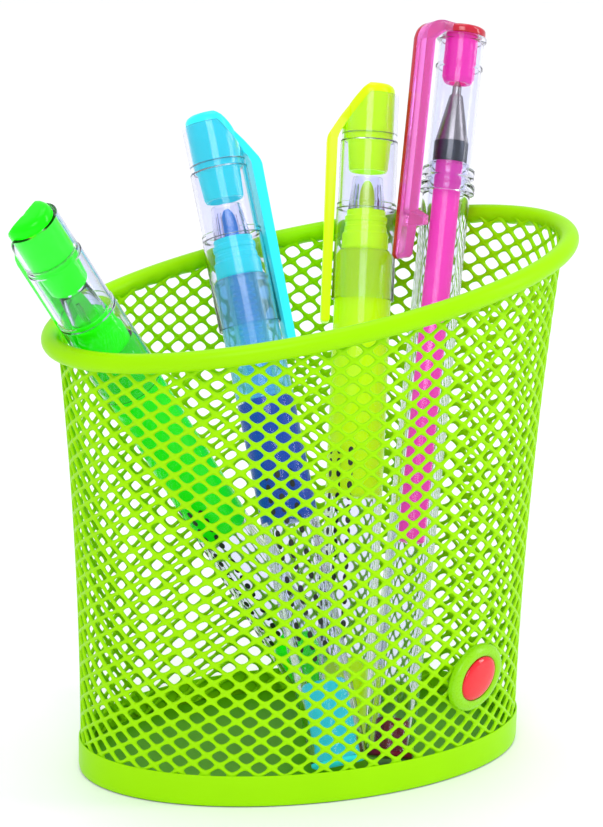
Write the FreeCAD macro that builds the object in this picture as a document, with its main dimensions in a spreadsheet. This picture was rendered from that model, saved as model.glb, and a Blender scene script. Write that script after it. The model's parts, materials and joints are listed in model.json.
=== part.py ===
import FreeCAD, Part
import math
import os
import re

import Sketcher

# An oval desk cup with a mesh wall and a slanting rim, holding three highlighters and a gel pen.
# Millimetres. Origin: centre of the cup's underside. +Z up, +X along the oval towards the high end
# of the rim. Every pen is drawn upright with its tail at z = 0 and its clip along +X, then leaned.

SIZES = {
    # cup
    "foot_half_length": 47.5,
    "foot_half_width": 30.5,
    "flare_length": 0.000611,      # the half length grows with this times the height squared
    "flare_width": 0.0433,         # the half width grows with this times the height
    "wall_drift": 0.006,           # the oval's centre moves along X with this times the height
    "wall_thickness": 0.8,
    "wall_loft_height": 125.0,
    "rim_half_length": 54.9,
    "rim_half_width": 35.6,
    "rim_centre_x": 1.5,
    "rim_centre_height": 99.65,
    "rim_slope": 0.156,            # rise of the rim along X
    "rim_tube_radius": 2.0,
    "band_height": 6.6,
    "band_thickness": 0.4,
    "plate_thickness": 2.1,
    # badge
    "badge_angle": -55.5,          # parameter angle of the oval where the badge sits
    "badge_height": 21.4,
    "badge_half_length": 7.8,
    "badge_half_width": 6.5,
    "badge_tilt": 28.0,
    "badge_depth": 2.2,
    "badge_clearance": 0.03,
    "badge_recess": 0.9,
    "dome_half_length": 5.3,
    "dome_half_width": 4.2,
    "dome_depth": 1.5,
    # where the pens stand: tail position, lean from the vertical, compass of the lean, clip turn
    "green_x": 12.25,
    "green_y": 14.45,
    "green_lean": 33.55,
    "green_heading": 194.6,
    "green_turn": -79.0,
    "blue_x": -1.1,
    "blue_y": -24.05,
    "blue_lean": 26.6,
    "blue_heading": 95.8,
    "blue_turn": -103.0,
    "yellow_x": 5.1,
    "yellow_y": -10.9,
    "yellow_lean": 20.7,
    "yellow_heading": 62.3,
    "yellow_turn": 97.0,
    "pink_x": 10.5,
    "pink_y": -22.55,
    "pink_lean": 24.95,
    "pink_heading": 55.0,
    "pink_turn": 133.0,
    "rest_gap": 0.25,              # room between a pen's tail and the floor plate
    # highlighter; a drop is a distance below the top of the cap
    "marker_length": 138.1,
    "marker_radius": 5.95,
    "marker_bore": 4.8,
    "marker_plug_length": 17.5,
    "marker_flange": 1.2,
    "holder_drop": 35.2,
    "holder_radius": 4.9,
    "holder_neck_radius": 4.2,
    "nib_base_drop": 26.8,
    "nib_length": 6.3,
    "nib_radius": 1.65,
    "nib_socket": 3.0,
    "guard_length": 7.0,
    "guard_foot_radius": 3.9,
    "guard_tip_radius": 3.1,
    "guard_wall": 0.6,
    "feed_length": 26.0,
    "feed_core_radius": 1.5,
    "feed_fin_radius": 2.5,
    "feed_fin_pitch": 1.25,
    "feed_fin_thickness": 0.5,
    "feed_fins": 20,
    "ink_length": 26.0,
    "ink_radius": 4.6,
    # highlighter cap
    "cap_length": 45.7,
    "cap_mouth_radius": 6.55,
    "cap_mouth_bore": 6.05,
    "cap_skirt_radius": 6.3,
    "cap_middle_radius": 6.05,
    "cap_middle_bore": 5.35,
    "cap_top_radius": 5.85,
    "cap_top_bore": 5.0,
    "cap_edge_drop": 2.3,
    "cap_ring_drop": 12.2,
    "cap_skirt_drop": 25.5,
    "cap_skirt_web": 1.0,
    "cap_slant": 1.35,             # fall of the cap's slanting top per unit towards the clip
    "slant_start": 0.5,
    "plug_length": 18.6,
    "plug_foot_radius": 4.1,
    "plug_wall": 0.8,
    "dome_flat_edge": 0.4,
    "dome_shoulder": 1.9,
    "dome_shoulder_drop": 1.3,
    "clip_reach": 9.0,
    "clip_gap_radius": 6.65,
    "clip_shoulder_drop": 11.6,
    "clip_length": 50.8,
    "clip_width": 4.4,
    "clip_tip_reach": 8.6,
    "clip_tip_chamfer": 0.7,
    # gel pen
    "gel_length": 154.7,
    "gel_radius": 5.0,
    "gel_bore": 3.6,
    "gel_flange": 1.2,
    "gel_plug_length": 8.2,
    "gel_neck_radius": 4.1,
    "gel_shoulder_gap": 0.3,
    "gel_neck_drop": 29.4,
    "gel_ink_length": 80.5,
    "gel_ink_radius": 3.15,
    "collar_radius": 3.6,
    "collar_length": 4.5,
    "cone_foot_radius": 3.5,
    "cone_tip_radius": 1.3,
    "cone_length": 10.2,
    "point_foot_radius": 1.0,
    "point_tip_radius": 0.4,
    "point_length": 3.4,
    # gel pen cap
    "gel_cap_length": 35.8,
    "gel_cap_radius": 4.75,
    "gel_cap_bore": 4.2,
    "gel_cap_edge_drop": 2.0,
    "gel_flange_radius": 5.2,
    "gel_flange_height": 1.2,
    "gel_ridge_drop": 8.4,
    "gel_ridge_radius": 5.0,
    "gel_ridge_height": 0.6,
    "gel_lip_radius": 5.85,
    "gel_lip_height": 2.0,
    "gel_upper_lip_drop": 30.5,
    "gel_upper_lip_radius": 5.5,
    "gel_disc_radius": 4.9,
    "gel_clip_reach": 10.3,
    "gel_clip_inner": 8.4,
    "gel_clip_corner": 4.0,
    "gel_clip_length": 51.4,
    "gel_clip_width": 5.2,
    "gel_nub_radius": 5.35,
    "gel_nub_drop": 41.2,
    "gel_nub_height": 3.2,
    "gel_seal_radius": 3.4,
    "gel_seal_length": 12.2,
    "gel_seal_bore": 1.7,
    "gel_seal_bore_drop": 8.4,
}

WALL_SECTIONS = 6
PLANE_ROLES = {"XY": "XY_Plane", "XZ": "XZ_Plane", "YZ": "YZ_Plane"}
UP = FreeCAD.Vector(0, 0, 1)

doc = FreeCAD.newDocument("desk_cup")
sheet = doc.addObject("Spreadsheet::Sheet", "sizes")
finished = []


def fill_sheet():
    """One row per driving dimension: its name in column A, its value with an alias in column B."""
    for row, (name, value) in enumerate(SIZES.items(), start=1):
        sheet.set(f"A{row}", name)
        sheet.set(f"B{row}", str(value))
        sheet.setAlias(f"B{row}", name)
    doc.recompute()


def size(name):
    return float(sheet.get(name))


def in_sheet(expression):
    """Rewrites the plain names in an expression as references to the sheet's aliases."""
    def prefix(match):
        word = match.group(0)
        return f"sizes.{word}" if word in SIZES else word
    return re.sub(r"[a-z_]+", prefix, expression)


def bind(item, prop, expression):
    item.setExpression(prop, in_sheet(expression))


def value_of(expression):
    return float(sheet.evalExpression(re.sub(r"\s+", "", expression)))


def finish(item, label, placement=None):
    """Names a finished sub-part, stands it in its place and marks it for export."""
    item.Label = label
    if placement is not None:
        item.Placement = placement
    finished.append(item)
    return item


# ---------------------------------------------------------------- sketched bodies

def new_body(label):
    body = doc.addObject("PartDesign::Body", label)
    body.Label = label
    return body


def outline_sketch(body, name, corners, plane="XZ"):
    """A closed outline of straight runs. Each corner is a pair of expressions of sheet names."""
    sketch = body.newObject("Sketcher::SketchObject", f"{body.Name}_{name}")
    role = PLANE_ROLES[plane]
    support = [f for f in body.Origin.OriginFeatures if f.Role == role][0]
    sketch.AttachmentSupport = [(support, "")]
    sketch.MapMode = "FlatFace"
    points = [(value_of(across), value_of(along)) for across, along in corners]
    count = len(points)
    for i in range(count):
        start = FreeCAD.Vector(*points[i], 0)
        end = FreeCAD.Vector(*points[(i + 1) % count], 0)
        sketch.addGeometry(Part.LineSegment(start, end), False)
    for i in range(count):
        sketch.addConstraint(Sketcher.Constraint("Coincident", i, 2, (i + 1) % count, 1))
    for i, (across, along) in enumerate(corners):
        for kind, expression, number in (("DistanceX", across, points[i][0]),
                                         ("DistanceY", along, points[i][1])):
            index = sketch.addConstraint(Sketcher.Constraint(kind, -1, 1, i, 1, number))
            bind(sketch, f"Constraints[{index}]", expression)
    return sketch


def add_revolution(body, name, corners):
    """Turns an outline of (radius, height) corners about the body's own Z axis."""
    sketch = outline_sketch(body, name, corners)
    turned = body.newObject("PartDesign::Revolution", f"{body.Name}_{name}_turned")
    turned.Profile = sketch
    turned.ReferenceAxis = (sketch, ["V_Axis"])
    turned.Angle = 360
    return turned


def add_slab(body, name, corners, width):
    """Thickens an outline in the XZ plane evenly to both sides."""
    sketch = outline_sketch(body, name, corners)
    pad = body.newObject("PartDesign::Pad", f"{body.Name}_{name}_pad")
    pad.Profile = sketch
    pad.Midplane = True
    bind(pad, "Length", width)
    return pad


def cut_slab(body, name, corners):
    """Cuts an outline in the XZ plane right through, and makes sure that it removed something."""
    doc.recompute()
    before = body.Shape.Volume
    sketch = outline_sketch(body, name, corners)
    pocket = body.newObject("PartDesign::Pocket", f"{body.Name}_{name}_cut")
    pocket.Profile = sketch
    pocket.Midplane = True
    pocket.Type = "Length"
    bind(pocket, "Length", "clip_reach * 4")
    doc.recompute()
    if not body.Shape.Volume < before - 0.1:
        raise RuntimeError(f"{pocket.Name} cut nothing")
    return pocket


def turned_part(label, placement, corners):
    body = new_body(label)
    add_revolution(body, "outline", corners)
    return finish(body, label, placement)


# ---------------------------------------------------------------- cup

def ellipse(name, half_length, half_width, height="0", centre_x="0"):
    curve = doc.addObject("Part::Ellipse", name)
    bind(curve, "MajorRadius", half_length)
    bind(curve, "MinorRadius", half_width)
    bind(curve, "Placement.Base.x", centre_x)
    bind(curve, "Placement.Base.z", height)
    return curve


def extrusion(name, curve, height):
    solid = doc.addObject("Part::Extrusion", name)
    solid.Base = curve
    solid.DirMode = "Custom"
    solid.Dir = UP
    solid.Solid = True
    bind(solid, "LengthFwd", height)
    return solid


def cut(name, base, tool):
    result = doc.addObject("Part::Cut", name)
    result.Base = base
    result.Tool = tool
    return result


def wall_loft(name, inset):
    """The flared oval from the desk upwards, set in from the wall's outer surface."""
    sections = []
    for step in range(WALL_SECTIONS):
        height = f"(wall_loft_height * {step} / {WALL_SECTIONS - 1})"
        half_length = f"foot_half_length + flare_length * {height} * {height} - {inset}"
        half_width = f"foot_half_width + flare_width * {height} - {inset}"
        drift = f"wall_drift * {height}"
        sections.append(ellipse(f"{name}_{step}", half_length, half_width, height, drift))
    loft = doc.addObject("Part::Loft", name)
    loft.Sections = sections
    loft.Solid = True
    loft.Ruled = False
    return loft


def rim_plane(height_offset=0.0):
    """The slanting plane that the middle of the rim tube lies in, or one parallel to it."""
    centre_x = size("rim_centre_x")
    height = size("rim_centre_height") + size("rim_slope") * centre_x + height_offset
    tilt = FreeCAD.Rotation(FreeCAD.Vector(0, 1, 0), -math.degrees(math.atan(size("rim_slope"))))
    return FreeCAD.Placement(FreeCAD.Vector(centre_x, 0, height), tilt)


def room_above(name, placement):
    """A box that takes away everything above a plane."""
    above = doc.addObject("Part::Box", name)
    bind(above, "Length", "wall_loft_height * 2")
    bind(above, "Width", "wall_loft_height * 2")
    bind(above, "Height", "wall_loft_height")
    reach = size("wall_loft_height")
    above.Placement = placement.multiply(
        FreeCAD.Placement(FreeCAD.Vector(-reach, -reach, 0), FreeCAD.Rotation()))
    return above


def make_wall_and_band():
    """The perforated wall, kept here as a plain skin that ends inside the rim tube's underside,
    and the plain band that clasps its foot from outside."""
    outside = wall_loft("wall_outside", "0")
    skin = cut("wall_skin", outside, wall_loft("wall_inside", "wall_thickness"))
    finish(cut("mesh_wall", skin, room_above("above_rim", rim_plane(-size("rim_tube_radius") / 2))),
           "mesh_wall")
    collar = cut("band_collar", wall_loft("band_outside", "(-band_thickness)"), outside)
    top = FreeCAD.Placement(FreeCAD.Vector(0, 0, size("band_height")), FreeCAD.Rotation())
    finish(cut("base_band", collar, room_above("above_band", top)), "base_band")


def make_rim_tube():
    """A round tube bent to an oval that lies in the slanting plane."""
    spine = ellipse("rim_spine", "rim_half_length * sqrt(1 + rim_slope * rim_slope)", "rim_half_width")
    section = doc.addObject("Part::Circle", "rim_section")
    bind(section, "Radius", "rim_tube_radius")
    upright = FreeCAD.Rotation(FreeCAD.Vector(1, 0, 0), 90)
    section.Placement = FreeCAD.Placement(FreeCAD.Vector(), upright)
    bind(section, "Placement.Base.x", "rim_half_length * sqrt(1 + rim_slope * rim_slope)")
    tube = doc.addObject("Part::Sweep", "rim_tube")
    tube.Sections = [section]
    tube.Spine = (spine, ["Edge1"])
    tube.Solid = True
    tube.Frenet = True
    doc.recompute()
    finish(tube, "rim_tube", rim_plane())


def make_floor_plate():
    """The flat floor inside the wall."""
    curve = ellipse("floor_outline", "foot_half_length - wall_thickness",
                    "foot_half_width - wall_thickness")
    finish(extrusion("floor_plate", curve, "plate_thickness"), "floor_plate")


def badge_placement():
    """Local Z is the wall's outward normal and local X runs level round the wall, then tilts."""
    cosine = math.cos(math.radians(size("badge_angle")))
    sine = math.sin(math.radians(size("badge_angle")))
    height = size("badge_height")
    half_length = size("foot_half_length") + size("flare_length") * height ** 2
    half_width = size("foot_half_width") + size("flare_width") * height
    across = half_length * cosine + size("wall_drift") * height
    along = half_width * sine
    overhang = (cosine ** 2 * size("flare_length") * 2 * height / half_length
                + sine ** 2 * size("flare_width") / half_width)
    normal = FreeCAD.Vector(cosine / half_length, sine / half_width, -overhang).normalize()
    level = UP.cross(normal)
    turned = FreeCAD.Rotation(level, UP, normal, "ZXY")
    tilted = turned.multiply(FreeCAD.Rotation(UP, size("badge_tilt")))
    return FreeCAD.Placement(FreeCAD.Vector(across, along, height) + normal * size("badge_clearance"), tilted)


def make_badge():
    """A plain oval holder on the outside of the wall with a smooth domed insert."""
    place = badge_placement()
    body = ellipse("badge_outline", "badge_half_length", "badge_half_width")
    recess = ellipse("badge_recess_outline", "dome_half_length", "dome_half_width",
                     "badge_depth - badge_recess")
    holder = cut("badge_holder", extrusion("badge_solid", body, "badge_depth"),
                 extrusion("badge_hollow", recess, "badge_depth"))
    finish(holder, "badge_holder", place)
    dome = doc.addObject("Part::Ellipsoid", "badge_dome")
    bind(dome, "Radius1", "dome_depth")
    bind(dome, "Radius2", "dome_half_length")
    bind(dome, "Radius3", "dome_half_width")
    dome.Angle1 = 0
    seat = FreeCAD.Vector(0, 0, size("badge_depth") - size("badge_recess"))
    finish(dome, "badge_dome", place.multiply(FreeCAD.Placement(seat, FreeCAD.Rotation())))


# ---------------------------------------------------------------- pens

def pen_placement(pen, radius):
    """Stands a pen on the floor plate by the edge of its tail and leans it towards its heading."""
    lean = size(f"{pen}_lean")
    rise = size(radius) * math.sin(math.radians(lean))
    height = size("plate_thickness") + rise + size("rest_gap")
    tail = FreeCAD.Vector(size(f"{pen}_x"), size(f"{pen}_y"), height)
    turn = FreeCAD.Rotation(UP, size(f"{pen}_heading"))
    turn = turn.multiply(FreeCAD.Rotation(FreeCAD.Vector(0, 1, 0), lean))
    turn = turn.multiply(FreeCAD.Rotation(UP, size(f"{pen}_turn")))
    return FreeCAD.Placement(tail, turn)


def make_marker_barrel(pen, place):
    """Clear tube open at both ends, with its corners broken."""
    top = "marker_length - holder_drop"
    turned_part(f"{pen}_barrel", place, [
        ("marker_bore", "marker_flange"),
        ("marker_radius - 0.3", "marker_flange"),
        ("marker_radius", "marker_flange + 0.3"),
        ("marker_radius", f"{top} - 0.5"),
        ("marker_radius - 0.5", top),
        ("marker_bore", top),
    ])


def make_marker_tail_plug(pen, place):
    turned_part(f"{pen}_tail_plug", place, [
        ("0", "0"),
        ("marker_radius - 0.8", "0"),
        ("marker_radius - 0.2", "0.6"),
        ("marker_radius - 0.2", "marker_flange"),
        ("marker_bore", "marker_flange"),
        ("marker_bore", "marker_plug_length - 0.7"),
        ("marker_bore - 0.7", "marker_plug_length"),
        ("0", "marker_plug_length"),
    ])


def make_nib_holder(pen, place):
    """Stepped head that closes the barrel and has a socket for the nib."""
    foot = "marker_length - holder_drop"
    top = "marker_length - nib_base_drop"
    turned_part(f"{pen}_nib_holder", place, [
        ("0", foot),
        ("holder_radius", foot),
        ("holder_radius", f"{foot} + 3.4"),
        ("holder_neck_radius + 0.3", f"{foot} + 4.2"),
        ("holder_neck_radius + 0.3", f"{top} - 1.6"),
        ("holder_neck_radius", f"{top} - 1.4"),
        ("holder_neck_radius", top),
        ("nib_radius", top),
        ("nib_radius", f"{top} - nib_socket"),
        ("0", f"{top} - nib_socket"),
    ])


def make_nib(pen, place):
    """Bullet-shaped felt nib, seated in its socket."""
    base = "marker_length - nib_base_drop"
    turned_part(f"{pen}_nib", place, [
        ("0", f"{base} - nib_socket"),
        ("nib_radius", f"{base} - nib_socket"),
        ("nib_radius", f"{base} + nib_length * 0.42"),
        ("nib_radius * 0.8", f"{base} + nib_length * 0.76"),
        ("nib_radius * 0.45", f"{base} + nib_length * 0.96"),
        ("nib_radius * 0.25", f"{base} + nib_length"),
        ("0", f"{base} + nib_length"),
    ])


def make_nose_guard(pen, place):
    """Clear tapered sleeve round the nib."""
    base = "marker_length - nib_base_drop"
    turned_part(f"{pen}_nose_guard", place, [
        ("guard_foot_radius - guard_wall", base),
        ("guard_foot_radius", base),
        ("guard_tip_radius", f"{base} + guard_length"),
        ("guard_tip_radius - guard_wall", f"{base} + guard_length"),
    ])


def make_feed(pen, place):
    """Ink feed: a core rod with a stack of thin fins, hanging below the nib holder."""
    body = new_body(f"{pen}_feed")
    top = "marker_length - holder_drop"
    foot = f"{top} - feed_length"
    add_revolution(body, "core", [
        ("0", foot),
        ("feed_core_radius", foot),
        ("feed_core_radius", top),
        ("0", top),
    ])
    fin = add_revolution(body, "fin", [
        ("0", foot),
        ("feed_fin_radius", foot),
        ("feed_fin_radius", f"{foot} + feed_fin_thickness"),
        ("0", f"{foot} + feed_fin_thickness"),
    ])
    stack = body.newObject("PartDesign::LinearPattern", f"{body.Name}_stack")
    stack.Originals = [fin]
    stack.Direction = (fin.Profile[0], ["V_Axis"])
    stack.Mode = "Spacing"
    bind(stack, "Offset", "feed_fin_pitch")
    bind(stack, "Occurrences", "feed_fins")
    body.Tip = stack
    finish(body, f"{pen}_feed", place)


def make_ink(pen, place):
    """The ink-filled stretch of the barrel under the feed."""
    top = "marker_length - holder_drop - feed_length"
    turned_part(f"{pen}_ink", place, [
        ("0", f"{top} - ink_length"),
        ("ink_radius", f"{top} - ink_length"),
        ("ink_radius", top),
        ("0", top),
    ])


def make_cap_tube(pen, place):
    """Clear stepped cap, open below, its top cut away on a slant towards the clip."""
    body = new_body(f"{pen}_cap_tube")
    add_revolution(body, "tube", [
        ("cap_mouth_bore", "marker_length - cap_length"),
        ("cap_mouth_radius", "marker_length - cap_length"),
        ("cap_skirt_radius", "marker_length - cap_skirt_drop"),
        ("cap_middle_radius", "marker_length - cap_skirt_drop"),
        ("cap_middle_radius", "marker_length - cap_ring_drop"),
        ("cap_top_radius", "marker_length - cap_ring_drop"),
        ("cap_top_radius", "marker_length - cap_edge_drop"),
        ("cap_top_bore", "marker_length - cap_edge_drop"),
        ("cap_top_bore", "marker_length - cap_ring_drop"),
        ("cap_middle_bore", "marker_length - cap_ring_drop"),
        ("cap_middle_bore", "marker_length - cap_skirt_drop - cap_skirt_web"),
        ("cap_mouth_bore", "marker_length - cap_skirt_drop - cap_skirt_web"),
    ])
    slant_end = "clip_reach - slant_start"
    cut_slab(body, "slant", [
        ("slant_start", "marker_length - cap_edge_drop"),
        ("clip_reach", f"marker_length - cap_edge_drop - cap_slant * ({slant_end})"),
        ("clip_reach", "marker_length"),
        ("slant_start", "marker_length"),
    ])
    finish(body, f"{pen}_cap_tube", place)


def make_cap_clip(pen, place):
    """Coloured plug that closes the cap, with a slanting domed top that runs out into the clip."""
    body = new_body(f"{pen}_cap_clip")
    add_revolution(body, "plug", [
        ("0", "marker_length"),
        ("cap_top_bore - 1.2", "marker_length"),
        ("cap_top_bore", "marker_length - 1.0"),
        ("cap_top_bore", "marker_length - cap_ring_drop"),
        ("cap_top_bore - 0.4", "marker_length - cap_ring_drop"),
        ("plug_foot_radius", "marker_length - plug_length"),
        ("plug_foot_radius - plug_wall", "marker_length - plug_length"),
        ("plug_foot_radius - plug_wall", "marker_length - cap_ring_drop"),
        ("0", "marker_length - cap_ring_drop"),
    ])
    fall = "(clip_shoulder_drop - dome_shoulder_drop) / (clip_reach - dome_shoulder)"
    cut_slab(body, "slant", [
        ("dome_flat_edge", "marker_length"),
        ("dome_shoulder", "marker_length - dome_shoulder_drop"),
        ("clip_reach", "marker_length - clip_shoulder_drop"),
        ("clip_reach", "marker_length + 1"),
        ("dome_flat_edge", "marker_length + 1"),
    ])
    under = "marker_length - cap_edge_drop - cap_slant"
    add_slab(body, "clip", [
        ("dome_shoulder", "marker_length - dome_shoulder_drop"),
        ("clip_reach", "marker_length - clip_shoulder_drop"),
        ("clip_tip_reach", "marker_length - clip_length + clip_tip_chamfer"),
        ("clip_tip_reach - clip_tip_chamfer", "marker_length - clip_length"),
        ("clip_gap_radius + clip_tip_chamfer", "marker_length - clip_length"),
        ("clip_gap_radius", "marker_length - clip_length + clip_tip_chamfer"),
        ("clip_gap_radius", f"{under} * (clip_gap_radius - slant_start)"),
        ("dome_shoulder", f"{under} * (dome_shoulder - slant_start)"),
    ], "clip_width")
    finish(body, f"{pen}_cap_clip", place)


def make_marker(pen):
    place = pen_placement(pen, "marker_radius")
    for make in (make_marker_barrel, make_marker_tail_plug, make_nib_holder, make_nib, make_nose_guard,
                 make_feed, make_ink, make_cap_tube, make_cap_clip):
        make(pen, place)


def make_gel_pen():
    """A slimmer clear pen with a metal cone tip and a wide translucent clip."""
    place = pen_placement("pink", "gel_radius")
    shoulder = "gel_length - gel_cap_length - gel_shoulder_gap"
    neck_top = "gel_length - gel_neck_drop"
    turned_part("pink_barrel", place, [
        ("gel_bore", "gel_flange"),
        ("gel_radius - 0.3", "gel_flange"),
        ("gel_radius", "gel_flange + 0.3"),
        ("gel_radius", shoulder),
        ("gel_neck_radius", shoulder),
        ("gel_neck_radius", neck_top),
        ("gel_bore", neck_top),
    ])
    turned_part("pink_tail_plug", place, [
        ("0", "0"),
        ("gel_radius - 0.6", "0"),
        ("gel_radius - 0.2", "0.4"),
        ("gel_radius - 0.2", "gel_flange"),
        ("gel_bore", "gel_flange"),
        ("gel_bore", "gel_plug_length - 0.6"),
        ("gel_bore - 0.6", "gel_plug_length"),
        ("0", "gel_plug_length"),
    ])
    turned_part("pink_ink_tube", place, [
        ("0", f"{neck_top} - gel_ink_length"),
        ("gel_ink_radius", f"{neck_top} - gel_ink_length"),
        ("gel_ink_radius", neck_top),
        ("0", neck_top),
    ])
    turned_part("pink_collar", place, [
        ("0", neck_top),
        ("collar_radius", neck_top),
        ("collar_radius", f"{neck_top} + collar_length"),
        ("0", f"{neck_top} + collar_length"),
    ])
    cone_foot = f"{neck_top} + collar_length"
    turned_part("pink_cone_tip", place, [
        ("0", cone_foot),
        ("cone_foot_radius", cone_foot),
        ("cone_tip_radius", f"{cone_foot} + cone_length"),
        ("0", f"{cone_foot} + cone_length"),
    ])
    point_foot = f"{cone_foot} + cone_length"
    turned_part("pink_ball_point", place, [
        ("0", point_foot),
        ("point_foot_radius", point_foot),
        ("point_tip_radius", f"{point_foot} + point_length"),
        ("0", f"{point_foot} + point_length"),
    ])
    make_gel_cap(place)


def make_gel_cap(place):
    """Clear tube with a top flange, a ridge and two mouth lips; a seal; and the clip on its disc."""
    lip_top = "gel_length - gel_cap_length + gel_lip_height"
    upper = "gel_length - gel_upper_lip_drop"
    ridge = "gel_length - gel_ridge_drop"
    edge = "gel_length - gel_cap_edge_drop"
    turned_part("pink_cap_tube", place, [
        ("gel_cap_bore", "gel_length - gel_cap_length"),
        ("gel_lip_radius", "gel_length - gel_cap_length"),
        ("gel_lip_radius", lip_top),
        ("gel_cap_radius", lip_top),
        ("gel_cap_radius", f"{upper} - gel_lip_height"),
        ("gel_upper_lip_radius", f"{upper} - gel_lip_height"),
        ("gel_upper_lip_radius", upper),
        ("gel_cap_radius", upper),
        ("gel_cap_radius", f"{ridge} - gel_ridge_height"),
        ("gel_ridge_radius", f"{ridge} - gel_ridge_height"),
        ("gel_ridge_radius", ridge),
        ("gel_cap_radius", ridge),
        ("gel_cap_radius", f"{edge} - gel_flange_height"),
        ("gel_flange_radius", f"{edge} - gel_flange_height"),
        ("gel_flange_radius", edge),
        ("gel_cap_bore", edge),
    ])
    bore_top = "gel_length - gel_seal_bore_drop"
    seal_foot = "gel_length - gel_seal_length"
    turned_part("pink_cap_seal", place, [
        ("0", edge),
        ("gel_seal_radius", edge),
        ("gel_seal_radius", f"{seal_foot} + 1.2"),
        ("gel_seal_radius - 0.6", seal_foot),
        ("gel_seal_bore", seal_foot),
        ("gel_seal_bore", bore_top),
        ("0", bore_top),
    ])
    body = new_body("pink_cap_clip")
    add_revolution(body, "disc", [
        ("0", edge),
        ("gel_disc_radius", edge),
        ("gel_disc_radius", "gel_length - 0.8"),
        ("gel_disc_radius - 0.9", "gel_length"),
        ("0", "gel_length"),
    ])
    corner = "gel_clip_corner"
    nub_top = "gel_length - gel_nub_drop"
    add_slab(body, "clip", [
        ("0", "gel_length"),
        (f"gel_clip_reach - {corner}", "gel_length"),
        (f"gel_clip_reach - {corner} * 0.3", f"gel_length - {corner} * 0.3"),
        ("gel_clip_reach", f"gel_length - {corner}"),
        ("gel_clip_reach", "gel_length - gel_clip_length + 0.7"),
        ("gel_clip_reach - 0.6", "gel_length - gel_clip_length"),
        ("gel_clip_inner + 0.5", "gel_length - gel_clip_length"),
        ("gel_clip_inner", "gel_length - gel_clip_length + 0.7"),
        ("gel_clip_inner", f"{nub_top} - gel_nub_height"),
        ("gel_nub_radius", f"{nub_top} - gel_nub_height + 0.6"),
        ("gel_nub_radius", f"{nub_top} - 0.6"),
        ("gel_clip_inner", nub_top),
        ("gel_clip_inner", f"{edge} - {corner} * 0.6"),
        (f"gel_clip_inner - {corner} * 0.6", edge),
        ("0", edge),
    ], "gel_clip_width")
    finish(body, "pink_cap_clip", place)


# ---------------------------------------------------------------- checks and export

def check_document():
    """Stops before anything is written if an object failed or a sub-part isn't one valid solid."""
    doc.recompute()
    for item in doc.Objects:
        if "Invalid" in item.State or "Error" in item.State:
            raise RuntimeError(f"{item.Name} is {item.State}")
    for item in finished:
        if item.Shape.isNull() or not item.Shape.isValid() or len(item.Shape.Solids) != 1:
            raise RuntimeError(f"{item.Label} is not one valid solid")


def export_parts():
    os.makedirs("parts", exist_ok=True)
    for item in finished:
        item.Shape.exportStep(os.path.join("parts", f"{item.Label}.step"))
    print(f"{len(finished)} sub-parts written")


fill_sheet()
make_wall_and_band()
make_rim_tube()
make_floor_plate()
make_badge()
for marker in ("green", "blue", "yellow"):
    make_marker(marker)
make_gel_pen()
check_document()
export_parts()
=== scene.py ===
import json
import math

import bmesh
import bpy
import numpy as np
from mathutils import Matrix, Vector


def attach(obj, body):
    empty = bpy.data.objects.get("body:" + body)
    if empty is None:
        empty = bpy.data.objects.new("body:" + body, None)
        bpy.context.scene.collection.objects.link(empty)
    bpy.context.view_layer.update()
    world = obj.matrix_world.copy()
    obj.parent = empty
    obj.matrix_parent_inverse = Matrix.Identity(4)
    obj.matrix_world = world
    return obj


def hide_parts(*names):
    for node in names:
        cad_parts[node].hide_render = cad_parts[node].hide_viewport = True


# A lime mesh desk cup with three clear highlighters and a gel pen. Shapes are worked out in
# millimetres and stored in metres. Each pen is drawn upright, its tail at z = 0 and its clip
# along +X, and then placed on the CAD pen, whose line and turn are read from the frame.

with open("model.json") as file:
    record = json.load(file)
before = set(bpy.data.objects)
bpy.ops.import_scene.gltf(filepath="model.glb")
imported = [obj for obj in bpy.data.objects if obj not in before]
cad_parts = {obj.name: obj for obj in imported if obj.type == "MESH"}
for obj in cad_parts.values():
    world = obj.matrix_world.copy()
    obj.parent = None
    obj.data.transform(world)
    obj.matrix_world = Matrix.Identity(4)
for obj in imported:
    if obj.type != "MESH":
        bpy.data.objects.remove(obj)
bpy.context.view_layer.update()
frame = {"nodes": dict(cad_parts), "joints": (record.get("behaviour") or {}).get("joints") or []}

MM = 0.001
TURN = 2 * math.pi

# The cup, as in the CAD
FOOT_LENGTH = 47.5
FOOT_WIDTH = 30.5
FLARE_LENGTH = 0.000611
FLARE_WIDTH = 0.0433
DRIFT = 0.006
WALL = 0.8
RIM_LENGTH = 54.9
RIM_WIDTH = 35.6
RIM_X = 1.5
RIM_HEIGHT = 99.65
RIM_SLOPE = 0.156
RIM_TUBE = 2.0
RIM_CRIMPS = 70
RIM_CRIMP_DEPTH = 0.35
BAND_HEIGHT = 6.6
BAND = 0.4

# The mesh is a flat blank rolled up, with straight rows that run a little askew. The seam is
# where the blank's ends meet, near the cup's left end. Rulings are its upright lines.
SEAM_ANGLE = 168.0
BLANK_TURN = -8.05
HOLE_PITCH = 5.46
ROW_PITCH = 3.906
HOLE_ACROSS = 0.305
HOLE_UP = 0.315
HOLE_SQUARENESS = 1.45
HOLE_POINTS = 16
RULING_STEP = TURN / 720
SPARE_RULINGS = 36
RULINGS = 720 + 2 * SPARE_RULINGS
BLANK_HEIGHT = 100.0
FIT_STEPS = 9
WALL_FOOT = 0.4
SPARE_TURN = 0.06
STRIP_HALF_WIDTH = 0.55
STRIP_RADIUS = 48


# ---------------------------------------------------------------- materials

def linear(red, green, blue):
    """A colour given as 0 to 255 on screen, as the shader wants it."""
    def convert(value):
        value /= 255
        return value / 12.92 if value <= 0.04045 else ((value + 0.055) / 1.055) ** 2.4
    return (convert(red), convert(green), convert(blue), 1.0)


def tinted(colour, factor):
    return tuple(min(1.0, c * factor) for c in colour[:3]) + (1.0,)


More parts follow.
